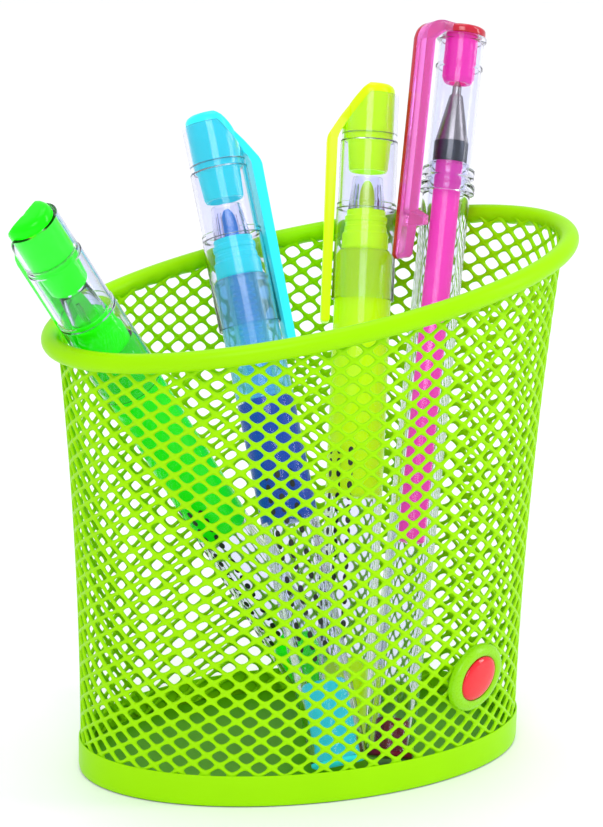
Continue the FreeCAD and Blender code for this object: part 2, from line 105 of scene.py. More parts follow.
def noise(nodes, links, coords, size_mm, detail=2.0, stretch=None):
    """Noise whose blobs are about size_mm across."""
    texture = nodes.new("ShaderNodeTexNoise")
    texture.inputs["Scale"].default_value = 1 / (size_mm * MM)
    texture.inputs["Detail"].default_value = detail
    if stretch:
        mapping = nodes.new("ShaderNodeMapping")
        mapping.inputs["Scale"].default_value = stretch
        links.new(coords, mapping.inputs["Vector"])
        coords = mapping.outputs["Vector"]
    links.new(coords, texture.inputs["Vector"])
    return texture.outputs["Fac"]


def finish_of(name, colour, rough=0.3, spread=0.06, vary=0.06, patch_mm=9.0, grain_mm=0.5, bump=0.08,
              stretch=None, **fixed):
    """A Principled material whose colour, roughness and surface all vary a little."""
    material = bpy.data.materials.new(name)
    material.use_nodes = True
    nodes = material.node_tree.nodes
    links = material.node_tree.links
    shader = nodes["Principled BSDF"]
    coords = nodes.new("ShaderNodeTexCoord").outputs["Object"]
    patches = noise(nodes, links, coords, patch_mm)
    grain = noise(nodes, links, coords, grain_mm, 3.0, stretch)
    mix = nodes.new("ShaderNodeMix")
    mix.data_type = "RGBA"
    mix.inputs["A"].default_value = tinted(colour, 1 - vary)
    mix.inputs["B"].default_value = tinted(colour, 1 + vary)
    links.new(patches, mix.inputs["Factor"])
    links.new(mix.outputs["Result"], shader.inputs["Base Color"])
    ramp = nodes.new("ShaderNodeMapRange")
    ramp.inputs["To Min"].default_value = max(0.0, rough - spread)
    ramp.inputs["To Max"].default_value = rough + spread
    links.new(grain, ramp.inputs["Value"])
    links.new(ramp.outputs["Result"], shader.inputs["Roughness"])
    relief = nodes.new("ShaderNodeBump")
    relief.inputs["Strength"].default_value = bump
    relief.inputs["Distance"].default_value = 0.1 * MM
    links.new(grain, relief.inputs["Height"])
    links.new(relief.outputs["Normal"], shader.inputs["Normal"])
    for socket, value in fixed.items():
        shader.inputs[socket.replace("_", " ")].default_value = value
    return material


def neon(name, colour, glow=0.42, clear=0.0, rough=0.22):
    """Bright dyed plastic with a painted glow: it gives off its own colour as emission of strength glow,
    standing in for light.
    """
    return finish_of(name, colour, rough=rough, spread=0.05, vary=0.05, bump=0.05, Coat_Weight=0.15,
                     Coat_Roughness=0.08, Emission_Color=colour, Emission_Strength=glow,
                     Transmission_Weight=clear, IOR=1.45, Specular_IOR_Level=0.15)


def clear(name, colour=(241, 242, 253), rough=0.05):
    return finish_of(name, linear(*colour), rough=rough, spread=0.03, vary=0.01, patch_mm=20.0,
                     grain_mm=1.2, bump=0.03, Transmission_Weight=1.0, IOR=1.3, Specular_IOR_Level=0.5)


LIME = finish_of("lime_lacquer", linear(156, 225, 0), rough=0.34, vary=0.05, patch_mm=14.0,
                 grain_mm=0.6, bump=0.10, Coat_Weight=0.02, Coat_Roughness=0.15, Specular_IOR_Level=0.07)
# The floor plate has the cup's lime lacquer painted darker as shade inside the cup, with more random tone.
SHADED_FLOOR_LIME = finish_of("lime_lacquer_painted_shade", linear(96, 168, 6), rough=0.38, vary=0.12, patch_mm=18.0,
                       grain_mm=0.8, bump=0.15, Specular_IOR_Level=0.16)
BADGE_GREEN = finish_of("badge_green", linear(142, 214, 8), rough=0.28, vary=0.04, bump=0.06,
                        Coat_Weight=0.15, Coat_Roughness=0.1, Specular_IOR_Level=0.2)
BADGE_RED = finish_of("badge_red", linear(232, 16, 34), rough=0.12, vary=0.05, bump=0.03,
                      Coat_Weight=0.5, Coat_Roughness=0.03, Specular_IOR_Level=0.3)
CLEAR = clear("clear_plastic")
COLLAR = finish_of("dark_knurled_metal", linear(70, 74, 80), rough=0.32, spread=0.12, vary=0.25,
                   patch_mm=1.2, grain_mm=0.35, bump=0.5, Metallic=1.0)
TIP = finish_of("polished_cone_metal", linear(150, 146, 144), rough=0.26, spread=0.08, vary=0.08,
                patch_mm=3.0, grain_mm=0.3, bump=0.12, stretch=(1, 1, 12), Metallic=1.0)


# ---------------------------------------------------------------- mesh building

def soften(corners, radius, closed=True, steps=3):
    """Rounds the corners of an outline. The two ends of an open one stay where they are."""
    count = len(corners)
    out = []
    for i, corner in enumerate(corners):
        here = np.array(corner, float)
        if not closed and i in (0, count - 1):
            out.append(tuple(here))
            continue
        back = np.array(corners[i - 1], float) - here
        ahead = np.array(corners[(i + 1) % count], float) - here
        start = here + back * min(0.45, radius / max(np.hypot(*back), 1e-9))
        end = here + ahead * min(0.45, radius / max(np.hypot(*ahead), 1e-9))
        for part in np.linspace(0, 1, steps + 1):
            out.append(tuple(start * (1 - part) ** 2 + here * 2 * part * (1 - part) + end * part ** 2))
    return out


def lathe(outline, closed=True, segments=72):
    """Turns an outline of (radius, height) about Z."""
    outline = np.array(outline, float)
    angles = np.arange(segments) * TURN / segments
    verts = np.stack([np.outer(outline[:, 0], np.cos(angles)), np.outer(outline[:, 0], np.sin(angles)),
                      np.repeat(outline[:, 1:2], segments, 1)], 2).reshape(-1, 3)
    rows = len(outline)
    faces = []
    for row in range(rows if closed else rows - 1):
        low = row * segments
        high = ((row + 1) % rows) * segments
        for step in range(segments):
            after = (step + 1) % segments
            faces.append((low + step, low + after, high + after, high + step))
    return verts, faces


def sweep_rings(rings, closed=True):
    """Joins rings of points, each a closed loop, into a tube. Closed joins the last to the first."""
    count, points = rings.shape[:2]
    faces = []
    for ring in range(count if closed else count - 1):
        low = ring * points
        high = ((ring + 1) % count) * points
        for step in range(points):
            after = (step + 1) % points
            faces.append((low + step, high + step, high + after, low + after))
    return rings.reshape(-1, 3), faces


def slab(outline, width, bevel):
    """An outline in XZ, thickened evenly along Y, with its side edges rounded."""
    count = len(outline)
    bm = bmesh.new()
    near = [bm.verts.new((x, -width / 2, z)) for x, z in outline]
    far = [bm.verts.new((x, width / 2, z)) for x, z in outline]
    bm.faces.new(near)
    bm.faces.new(list(reversed(far)))
    for i in range(count):
        after = (i + 1) % count
        bm.faces.new((near[i], far[i], far[after], near[after]))
    rims = [e for e in bm.edges if abs(e.verts[0].co.y - e.verts[1].co.y) < 1e-6]
    bmesh.ops.bevel(bm, geom=rims, offset=bevel, segments=3, profile=0.5, affect="EDGES",
                    clamp_overlap=True)
    bm.verts.index_update()
    verts = np.array([tuple(v.co) for v in bm.verts])
    faces = [tuple(v.index for v in f.verts) for f in bm.faces]
    bm.free()
    return verts, faces


def joined(*shapes):
    """Several (points, faces) shapes as one."""
    verts = []
    faces = []
    for shape_verts, shape_faces in shapes:
        start = sum(len(v) for v in verts)
        verts.append(np.array(shape_verts))
        faces += [tuple(start + i for i in face) for face in shape_faces]
    return np.concatenate(verts), faces


def add_piece(name, shape, material, body, nodes=(), place=None, sharp=38.0):
    """Makes a piece from a shape in millimetres, places it and hands it to a CAD body."""
    verts, faces = shape
    mesh = bpy.data.meshes.new(name)
    mesh.from_pydata((np.array(verts) * MM).tolist(), [], faces)
    if place is not None:
        mesh.transform(place)
    bm = bmesh.new()
    bm.from_mesh(mesh)
    bmesh.ops.remove_doubles(bm, verts=bm.verts, dist=1e-6)
    bmesh.ops.dissolve_degenerate(bm, edges=bm.edges, dist=1e-6)
    bmesh.ops.recalc_face_normals(bm, faces=bm.faces)
    bm.to_mesh(mesh)
    bm.free()
    mesh.shade_smooth()
    mesh.set_sharp_from_angle(angle=math.radians(sharp))
    mesh.materials.append(material)
    piece = bpy.data.objects.new(name, mesh)
    bpy.context.collection.objects.link(piece)
    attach(piece, body)
    if nodes:
        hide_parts(*nodes)
    return piece


# ---------------------------------------------------------------- cup

def oval(height, outward=0.0):
    """Half length, half width and centre of the wall's outer surface at a height."""
    return (FOOT_LENGTH + FLARE_LENGTH * height ** 2 + outward, FOOT_WIDTH + FLARE_WIDTH * height + outward,
            DRIFT * height)


def rim_height(x):
    return RIM_HEIGHT + RIM_SLOPE * x


def hole_template():
    """One diamond of the mesh in lattice units: its outline, the hole's edge and a ring between.
    The third number is the height above the middle of the sheet, as a part of its half thickness."""
    outline = []
    corners = [(0.5, 0), (0, 0.5), (-0.5, 0), (0, -0.5)]
    per_side = HOLE_POINTS // 4
    for k in range(4):
        start = np.array(corners[k])
        end = np.array(corners[(k + 1) % 4])
        outline += [start + (end - start) * step / per_side for step in range(per_side)]
    outline = np.array(outline)
    reach = ((np.abs(outline[:, 0]) / HOLE_ACROSS) ** HOLE_SQUARENESS
             + (np.abs(outline[:, 1]) / HOLE_UP) ** HOLE_SQUARENESS) ** (1 / HOLE_SQUARENESS)
    edge = outline / reach[:, None]
    shoulder = outline + (edge - outline) * 0.6
    rings = [(outline, 1.0), (shoulder, 0.8), (edge, 0.0), (shoulder, -0.8), (outline, -1.0)]
    return np.array([np.column_stack([ring, np.full(HOLE_POINTS, lift)]) for ring, lift in rings])


def wall_point(angle, height, outward=0.0):
    length, width, centre = oval(height, outward)
    return np.stack([centre + length * np.cos(angle), width * np.sin(angle), height + 0 * angle], -1)


def beyond(first, second, far_first, far_second, side):
    """The point of a flat triangle that lies at the given distances from two others."""
    line = second - first
    length = math.hypot(*line)
    along = (far_first ** 2 - far_second ** 2 + length ** 2) / (2 * length)
    off = math.sqrt(max(far_first ** 2 - along ** 2, 0))
    return first + (along * line + off * side * np.array([line[1], -line[0]])) / length


def rolled_blank():
    """Unrolls the wall, a little past the seam both ways, to flat foot and top lines of rulings."""
    angles = math.radians(SEAM_ANGLE) + RULING_STEP * (np.arange(RULINGS) - SPARE_RULINGS)
    low = wall_point(angles, 0.0)
    high = wall_point(angles, BLANK_HEIGHT)
    foot = [np.zeros(2)]
    top = [np.array([0.0, np.linalg.norm(high[0] - low[0])])]
    for i in range(RULINGS - 1):
        foot.append(beyond(foot[i], top[i], np.linalg.norm(low[i + 1] - low[i]),
                           np.linalg.norm(low[i + 1] - high[i]), 1))
        top.append(beyond(top[i], foot[i + 1], np.linalg.norm(high[i + 1] - high[i]),
                          np.linalg.norm(high[i + 1] - low[i + 1]), -1))
    return angles, np.array(foot), np.array(top)


def rolled_up(points, blank):
    """Angle and height on the wall of points on the flat blank."""
    angles, foot, top = blank
    numbers = np.arange(RULINGS)
    lean = top - foot
    table = np.column_stack([foot, lean, np.gradient(foot, axis=0), np.gradient(lean, axis=0)])
    ruling = np.interp(points[:, 0], foot[:, 0], numbers)
    part = np.zeros(len(points))
    for _ in range(FIT_STEPS):
        row = np.stack([np.interp(ruling, numbers, column) for column in table.T])
        miss = points.T - row[0:2] - part * row[2:4]
        step = row[4:6] + part * row[6:8]
        area = step[0] * row[3] - step[1] * row[2]
        ruling = ruling + (miss[0] * row[3] - miss[1] * row[2]) / area
        part = part + (step[0] * miss[1] - step[1] * miss[0]) / area
    return np.interp(ruling, numbers, angles), part * BLANK_HEIGHT


def on_blank(cells):
    """Flat positions of lattice numbers: columns along the rows, rows upwards."""
    turn = math.radians(BLANK_TURN)
    across = cells[:, 0] * HOLE_PITCH
    up = cells[:, 1] * ROW_PITCH
    return np.column_stack([across * math.cos(turn) - up * math.sin(turn),
                            across * math.sin(turn) + up * math.cos(turn)])


def mesh_half(blank, front):
    """Half of the perforated wall, cut off inside the rim, behind the band and along the seam."""
    rows, columns = np.meshgrid(np.arange(-12, 100), np.arange(-10, 70))
    cells = np.column_stack([(columns + 0.5 * (rows % 2)).ravel(), (rows / 2).ravel()])
    angle, height = rolled_up(on_blank(cells), blank)
    start = math.radians(SEAM_ANGLE)
    inside = (angle > start - SPARE_TURN) & (angle < start + TURN + SPARE_TURN) & (height > -ROW_PITCH)
    inside &= height < rim_height(RIM_LENGTH * np.cos(angle)) + ROW_PITCH
    inside &= (np.sin(angle) < 0) == front
    cells = cells[inside]
    points = hole_template()[None] + np.concatenate([cells, np.zeros((len(cells), 1))], 1)[:, None, None, :]
    keys = np.round(points.reshape(-1, 3) * 1000).astype(np.int64)
    unique, index = np.unique(keys, axis=0, return_inverse=True)
    index = index.reshape(len(cells), 5, HOLE_POINTS)
    spread = unique / 1000
    angle, height = rolled_up(on_blank(spread), blank)
    angle = np.clip(angle, start, start + TURN)
    height = np.maximum(height, WALL_FOOT)
    for _ in range(3):
        length, _, centre = oval(height, -WALL / 2)
        height = np.minimum(height, rim_height(centre + length * np.cos(angle)))
    verts = wall_point(angle, height, (spread[:, 2] - 1) * WALL / 2)
    faces = []
    for ring in range(4):
        inner = index[:, ring]
        outer = index[:, ring + 1]
        faces.append(np.stack([inner, np.roll(inner, -1, axis=1), np.roll(outer, -1, axis=1), outer],
                              2).reshape(-1, 4))
    faces = np.concatenate(faces)
    tops = height[faces]
    whole = np.ptp(verts[faces], axis=1).max(axis=1) > 1e-3
    sloping = np.ptp(tops, axis=1) > 1e-4
    return verts, faces[whole & (sloping | (tops.max(axis=1) < RIM_HEIGHT * 0.5))].tolist()


def seam_strip():
    """A narrow upright strip that joins the two ends of the rolled mesh."""
    start = math.radians(SEAM_ANGLE)
    top = rim_height(RIM_LENGTH * math.cos(start)) - 1.2
    side = STRIP_HALF_WIDTH
    outline = soften([(-side, -WALL + 0.02), (side, -WALL + 0.02), (side, -0.02), (-side, -0.02)], 0.3)
    rings = []
    for height in np.linspace(0.5, top, 40):
        rings.append([wall_point(start + across / STRIP_RADIUS, height, outward)
                      for across, outward in outline])
    verts, faces = sweep_rings(np.array(rings), closed=False)
    count = len(outline)
    last = len(verts) - count
    return verts, faces + [tuple(range(count)), tuple(range(last + count - 1, last - 1, -1))]


def rim_rings(radius, segments=560, points=28):
    """Circles round the rim's line, which is an oval lying in a slanting plane."""
    angles = np.arange(segments) * TURN / segments
    x = RIM_X + RIM_LENGTH * np.cos(angles)
    line = np.column_stack([x, RIM_WIDTH * np.sin(angles), rim_height(x)])
    along = np.column_stack([-RIM_LENGTH * np.sin(angles), RIM_WIDTH * np.cos(angles),
                             -RIM_SLOPE * RIM_LENGTH * np.sin(angles)])
    along /= np.linalg.norm(along, axis=1)[:, None]
    up = np.array([-RIM_SLOPE, 0, 1]) / math.hypot(RIM_SLOPE, 1)
    out = np.cross(along, up)
    turn = np.arange(points) * TURN / points
    under = np.clip(np.cos(turn - math.radians(222)), 0, 1) ** 3
    crimp = 0.5 + 0.5 * np.cos(angles * RIM_CRIMPS + 2.5 * np.sin(angles * 7))
    reach = radius - RIM_CRIMP_DEPTH * np.outer(crimp, under)
    return (line[:, None] + (reach * np.cos(turn))[..., None] * out[:, None]
            + (reach * np.sin(turn))[..., None] * up)


def band_rings(profile, segments=240):
    """Takes a profile of (outward, height) round the wall's foot."""
    angles = np.arange(segments) * TURN / segments
    return np.stack([wall_point(angles, height, outward) for outward, height in profile], 1)


def build_cup():
    blank = rolled_blank()
    for name, front in (("mesh_back", False), ("mesh_front", True)):
        add_piece(name, mesh_half(blank, front), LIME, "cup", ("mesh_wall",), sharp=80)
    add_piece("mesh_seam", seam_strip(), LIME, "cup", ("mesh_wall",))
    add_piece("rim", sweep_rings(rim_rings(RIM_TUBE)), LIME, "cup", ("rim_tube",))
    band = soften([(0.0, 0.0), (BAND - 0.2, 0.0), (BAND, 0.9), (BAND, BAND_HEIGHT), (0.0, BAND_HEIGHT)], 0.4)
    add_piece("foot_band", sweep_rings(band_rings(band)), LIME, "cup", ("base_band",))
    # The floor plate gets the darker lime of painted shade.
    frame["nodes"]["floor_plate"].data.materials.clear()
    frame["nodes"]["floor_plate"].data.materials.append(SHADED_FLOOR_LIME)


# ---------------------------------------------------------------- badge

BADGE_ANGLE = -55.5
BADGE_HEIGHT = 21.4
BADGE_TILT = 28.0
BADGE_OVAL = (7.8, 6.5)
DOME_OVAL = (5.3, 4.2)


def badge_place():
    """The CAD holder's place: Z is the wall's outward normal, X runs level round it and then tilts."""
    cosine = math.cos(math.radians(BADGE_ANGLE))
    sine = math.sin(math.radians(BADGE_ANGLE))
    length, width, centre = oval(BADGE_HEIGHT)
    overhang = (cosine ** 2 * FLARE_LENGTH * 2 * BADGE_HEIGHT / length
                + sine ** 2 * FLARE_WIDTH / width)
    normal = Vector((cosine / length, sine / width, -overhang)).normalized()
    level = Vector((0, 0, 1)).cross(normal).normalized()
    up = normal.cross(level)
    turn = Matrix((level, up, normal)).transposed().to_4x4()
    turn = turn @ Matrix.Rotation(math.radians(BADGE_TILT), 4, "Z")
    spot = Vector((centre + length * cosine, width * sine, BADGE_HEIGHT)) + normal * 0.03
    return Matrix.Translation(spot * MM) @ turn


def oval_dish(profile, oval_size, segments=96):
    """Closed rings of an oval, each (reach, height), where reach is a part of the full oval."""
    angles = np.arange(segments) * TURN / segments
    rings = [np.column_stack([oval_size[0] * reach * np.cos(angles), oval_size[1] * reach * np.sin(angles),
                              np.full(segments, height)]) for reach, height in profile]
    return sweep_rings(np.array(rings), closed=False)


def build_badge():
    place = badge_place()
    inner = DOME_OVAL[0] / BADGE_OVAL[0]
    holder = [(0, 0), (0.94, 0), (1, 0.3), (1, 1.1), (0.985, 1.5), (0.94, 1.85), (0.86, 2.1), (0.78, 2.19),
              (inner + 0.04, 2.1), (inner, 1.9), (inner, 1.3), (0, 1.3)]
    add_piece("badge_frame", oval_dish(holder, BADGE_OVAL), BADGE_GREEN, "cup",
              ("badge_holder",), place)
    dome = [(0, 1.3), (0.985, 1.3), (0.985, 1.9)]
    dome += [(0.97 * math.cos(a), 1.9 + 0.85 * math.sin(a)) for a in np.linspace(0, math.pi / 2, 12)]
    add_piece("badge_lens", oval_dish(dome, DOME_OVAL), BADGE_RED, "cup", ("badge_dome",), place)


# ---------------------------------------------------------------- pens

def surface_middle(node):
    """The area-weighted middle of a CAD node's surface."""
    mesh = frame["nodes"][node].data
    total = Vector()
    area = 0.0
    for face in mesh.polygons:
        total += face.center * face.area
        area += face.area
    return total / area


def pen_place(pen):
    """Where a pen stands: its line from the joint, its foot from the plug, its turn from the clip."""
    line = next(Vector(j["axis"]) for j in frame["joints"] if j["name"] == f"{pen}_pen_lift").normalized()
    middle = surface_middle(f"{pen}_barrel")
    points = [line.dot(v.co - middle) for v in frame["nodes"][f"{pen}_tail_plug"].data.vertices]
    foot = middle + line * min(points)
    side = surface_middle(f"{pen}_cap_clip") - foot
    side = (side - line * side.dot(line)).normalized()
    turn = Matrix((side, line.cross(side), line)).transposed().to_4x4()
    return Matrix.Translation(foot) @ turn


MARKER = 138.1
CAP_DROPS = (0.0, 1.3, 3.5, 6.9, 11.6)
CAP_REACHES = (0.4, 1.9, 3.7, 6.2, 9.0)
CLIP_END = 50.8
HOLDER_FOOT = MARKER - 35.2
INK_TOP = MARKER - 61.2
INK_LENGTH = 26.0


def clamp_top(shape, ceiling):
    """Lowers the points of a shape that stand above ceiling(x)."""
    verts, faces = shape
    verts = np.array(verts)
    verts[:, 2] = np.minimum(verts[:, 2], ceiling(verts[:, 0]))
    return verts, faces


def slanted_tube(radius, bore, foot, top, ceiling):
    """A short tube with fine rows, so that its slanting top edge is clean."""
    heights = np.linspace(top - 8.5, top, 24)
    outline = [(bore, foot), (radius, foot)] + [(radius, h) for h in heights]
    outline += [(bore, h) for h in heights[::-1]]
    return clamp_top(lathe(outline, segments=96), ceiling)


def cap_ceiling(x):
    """Height of the clear cap's top edge: level, then falling towards the clip."""
    return MARKER - 2.3 - 1.35 * np.maximum(x - 0.5, 0)


def dome_ceiling(x):
    return MARKER - np.interp(x, CAP_REACHES, CAP_DROPS)


def marker_cap_tube():
    mouth = MARKER - 45.7
    step = MARKER - 25.5
    ring = MARKER - 12.2
    tube = soften([(6.05, mouth), (6.55, mouth), (6.3, step), (6.05, step + 0.15), (6.05, ring),
                   (5.85, ring + 0.12), (5.85, ring + 1.6), (5.0, ring + 1.6), (5.0, ring),
                   (5.35, ring - 0.1), (5.35, step - 1.0), (6.05, step - 1.2)], 0.16)
    return joined(lathe(tube, segments=96), slanted_tube(5.85, 5.02, ring + 1.6, MARKER - 2.3, cap_ceiling))


def marker_cap_clip():
    ring = MARKER - 12.2
    end = MARKER - 18.6
    rounded = [(0, MARKER), (1, MARKER), (2, MARKER), (3, MARKER), (3.9, MARKER - 0.12), (4.5, MARKER - 0.5),
               (4.85, MARKER - 1.1), (4.98, MARKER - 2.0)]
    rounded += [(4.98, h) for h in np.linspace(MARKER - 2.6, ring + 0.2, 14)]
    rounded += [(4.9, ring), (4.6, ring - 0.1), (4.5, ring - 0.6), (4.15, end + 0.5), (3.9, end), (3.5, end),
                (3.3, end + 0.4), (3.3, ring), (0, ring)]
    plug = clamp_top(lathe(rounded, closed=False, segments=96), dome_ceiling)
    outer = [(2.5, MARKER - 2.15), (3.7, MARKER - 3.6), (6.2, MARKER - 7.0), (9.0, MARKER - 11.6),
             (8.6, MARKER - CLIP_END), (6.75, MARKER - CLIP_END), (6.75, MARKER - 11.0), (5.0, MARKER - 8.6),
             (2.5, MARKER - 6.4)]
    clip = slab(soften(outer, 0.8), 4.4, 0.5)
    return joined(plug, clip)


def marker_barrel():
    top = HOLDER_FOOT
    outline = [(4.8, 1.25), (5.65, 1.25), (5.95, 1.6), (5.95, top - 1.0), (5.3, top), (4.8, top)]
    return lathe(soften(outline, 0.2), segments=96)


def marker_tail_plug():
    return lathe(soften([(0, 0), (2.2, 0), (2.4, 0.35), (4.9, 0), (5.75, 0.5), (5.75, 1.2), (4.6, 1.3),
                         (4.6, 4.0), (4.4, 4.2), (4.4, 5.2), (4.6, 5.4), (4.6, 16.9), (4.1, 17.5),
                         (3.2, 17.5), (3.0, 16.6), (0, 16.6)], 0.15, closed=False))


def marker_nib_holder():
    foot = HOLDER_FOOT
    top = MARKER - 26.8
    return lathe(soften([(0, foot), (4.7, foot), (4.9, foot + 0.4), (4.9, foot + 3.4), (4.5, foot + 3.9),
                         (4.5, foot + 4.9), (4.3, foot + 5.0), (4.3, foot + 5.9), (4.5, foot + 6.0),
                         (4.5, top - 1.4), (4.1, top - 1.2), (4.1, top), (1.68, top), (1.68, top - 3.0),
                         (0, top - 3.0)], 0.15, closed=False))


def marker_nib():
    base = MARKER - 26.8
    return lathe(soften([(0, base - 2.9), (1.6, base - 2.9), (1.62, base + 2.7), (1.45, base + 4.2),
                         (1.05, base + 5.4), (0.55, base + 6.1), (0, base + 6.3)], 0.4, closed=False,
                        steps=4))


def marker_nose_guard():
    """A thin tapered sleeve with four upright ribs."""
    base = MARKER - 26.8
    sleeve = lathe(soften([(3.3, base), (3.9, base), (3.1, base + 7.0), (2.5, base + 7.0)], 0.2))
    ribs = []
    for k in range(4):
        rib, faces = slab([(3.2, base), (3.95, base), (3.4, base + 5.2), (2.9, base + 5.2)], 0.8, 0.12)
        turn = np.array(Matrix.Rotation(math.radians(45 + 90 * k), 3, "Z"))
        ribs.append((rib @ turn.T, faces))
    return joined(sleeve, *ribs)


def marker_feed():
    """A core rod with twenty thin fins."""
    foot = HOLDER_FOOT - 26.0
    outline = [(0, foot), (2.45, foot)]
    for fin in range(20):
        low = foot + 1.25 * fin
        outline += [(2.45, low), (2.45, low + 0.5), (1.6, low + 0.55), (1.6, low + 1.2)]
    outline += [(1.6, HOLDER_FOOT), (0, HOLDER_FOOT)]
    return lathe(outline, closed=False, segments=48)


def marker_ink(top):
    """Ink that wets the barrel. In the green and yellow pens it stands round the feed too."""
    foot = INK_TOP - INK_LENGTH
    outline = [(0, foot), (4.5, foot), (4.86, foot + 0.7), (4.86, top - 0.4), (4.6, top)]
    if top == INK_TOP:
        outline += [(0, top)]
    else:
        outline += [(2.6, top), (2.6, INK_TOP), (0, INK_TOP)]
    return lathe(soften(outline, 0.3, closed=False), segments=64)


def feed_liquid():
    """The paler liquid round the blue pen's feed."""
    foot = INK_TOP + 0.02
    return lathe(soften([(2.6, foot), (4.86, foot), (4.86, HOLDER_FOOT - 0.3), (4.6, HOLDER_FOOT - 0.05),
                         (2.6, HOLDER_FOOT - 0.05)], 0.15), segments=64)


def add_feed_liquid(pen, colour):
    # The thin liquid carries a faint painted glow: emission in its own colour.
    liquid = finish_of(f"{pen}_thin_liquid", linear(*colour), rough=0.08, vary=0.08, patch_mm=4.0, bump=0.05,
                       Transmission_Weight=0.75, IOR=1.3, Specular_IOR_Level=0.3,
                       Emission_Color=linear(*colour), Emission_Strength=0.1)
    add_piece(f"{pen}_feed_liquid", feed_liquid(), liquid, f"{pen}_pen", (f"{pen}_ink",),
              pen_place(pen))


def print_mark(radius, angle, height, half_width, half_height):
    """A thin oval of print on a barrel."""
    turn = np.arange(20) * TURN / 20
    rings = []
    for reach, lift in ((0.05, 0.04), (0.4, 0.04), (0.7, 0.04), (1, 0.04), (1, -0.04), (0.05, -0.04)):
        angles = angle + half_width * reach * np.cos(turn) / radius
        rings.append(np.column_stack([(radius + lift) * np.cos(angles), (radius + lift) * np.sin(angles),
                                      height + half_height * reach * np.sin(turn)]))
    return sweep_rings(np.array(rings))


def side_angle(place, turned):
    """The angle round a pen that faces the viewer, turned by so many degrees to the viewer's left."""
    azimuth = math.radians(CAMERA_AZIMUTH)
    away = Vector((math.sin(azimuth), -math.cos(azimuth), 0))
    left = Vector((-math.cos(azimuth), -math.sin(azimuth), 0))
    turned = math.radians(turned)
    local = place.to_3x3().inverted() @ (away * math.cos(turned) + left * math.sin(turned))
    return math.atan2(local.y, local.x)


def print_speckle(pen, turned, first):
    """Three columns of small dark ovals, evenly spaced, round the side that faces the viewer."""
    place = pen_place(pen)
    marks = []
    for column in range(3):
        angle = side_angle(place, turned + 24 * column)
        marks += [print_mark(5.95, angle, first + 2.4 * step, 0.55, 0.8) for step in range(17)]
    ink = finish_of(f"{pen}_print_ink", linear(34, 34, 40), rough=0.35, vary=0.1, bump=0.04)
    add_piece(f"{pen}_speckle", joined(*marks), ink, f"{pen}_pen", (f"{pen}_barrel",), place)


def build_marker(pen, neon_colour, ink_colour, nib_colour, feed_colour, ink_top):
    place = pen_place(pen)
    # The neon plastic, ink, felt tip and feed all carry a painted glow: emission in their own colours.
    bright = neon(f"{pen}_neon_plastic", linear(*neon_colour))
    ink = neon(f"{pen}_ink_liquid", linear(*ink_colour), glow=0.5, rough=0.12)
    felt = finish_of(f"{pen}_felt_tip", linear(*nib_colour), rough=0.8, vary=0.12, patch_mm=0.8,
                     grain_mm=0.18, bump=0.6, Emission_Color=linear(*nib_colour), Emission_Strength=0.3)
    feed = neon(f"{pen}_feed_plastic", linear(*feed_colour), glow=0.3, rough=0.3)
    body = f"{pen}_pen"
    parts = (("barrel_shell", marker_barrel(), CLEAR, "clear_shell", "barrel"),
             ("tail", marker_tail_plug(), bright, f"{pen}_neon", "tail_plug"),
             ("nib_seat", marker_nib_holder(), bright, f"{pen}_neon", "nib_holder"),
             ("felt_nib", marker_nib(), felt, f"{pen}_felt", "nib"),
             ("nib_sleeve", marker_nose_guard(), CLEAR, "clear_shell", "nose_guard"),
             ("fin_feed", marker_feed(), feed, f"{pen}_neon", "feed"),
             ("ink_fill", marker_ink(ink_top), ink, f"{pen}_ink_fill", "ink"))
    for name, shape, material, slot, node in parts:
        add_piece(f"{pen}_{name}", shape, material, body, (f"{pen}_{node}",), place)
    body = f"{pen}_cap"
    add_piece(f"{pen}_cap_shell", marker_cap_tube(), CLEAR, body, (f"{pen}_cap_tube",), place,
              sharp=28)
    add_piece(f"{pen}_cap_top", marker_cap_clip(), bright, body, (f"{pen}_cap_clip",), place)


# ---------------------------------------------------------------- gel pen

GEL = 154.7
GEL_NECK = GEL - 29.4
GEL_EDGE = GEL - 2.0


def gel_barrel():
    shoulder = GEL - 36.1
    return lathe(soften([(3.6, 1.25), (4.7, 1.25), (5.0, 1.6), (5.0, shoulder), (4.1, shoulder),
                         (4.1, GEL_NECK - 0.3), (3.9, GEL_NECK), (3.6, GEL_NECK)], 0.2), segments=96)


def gel_tail_plug():
    return lathe(soften([(0, 0), (4.4, 0), (4.8, 0.4), (4.8, 1.2), (3.55, 1.25), (3.55, 7.6), (3.0, 8.2),
                         (0, 8.2)], 0.15, closed=False))


def gel_ink():
    foot = GEL_NECK - 80.5
    return lathe(soften([(0, foot), (2.5, foot), (2.85, foot + 0.6), (2.85, GEL_NECK - 0.2),
                         (2.6, GEL_NECK), (0, GEL_NECK)], 0.3, closed=False), segments=64)


def gel_collar():
    return lathe(soften([(0, GEL_NECK), (3.6, GEL_NECK), (3.6, GEL_NECK + 4.5), (0, GEL_NECK + 4.5)], 0.15,
                        closed=False))


def gel_cone():
    foot = GEL_NECK + 4.5
    return lathe(soften([(0, foot), (3.5, foot), (1.45, foot + 9.9), (1.3, foot + 10.2), (0, foot + 10.2)],
                        0.12, closed=False), segments=64)


def gel_point():
    foot = GEL_NECK + 14.7
    return lathe(soften([(0, foot), (1.0, foot), (0.95, foot + 1.8), (0.42, foot + 3.0), (0.3, foot + 3.35),
                         (0, foot + 3.4)], 0.1, closed=False), segments=48)


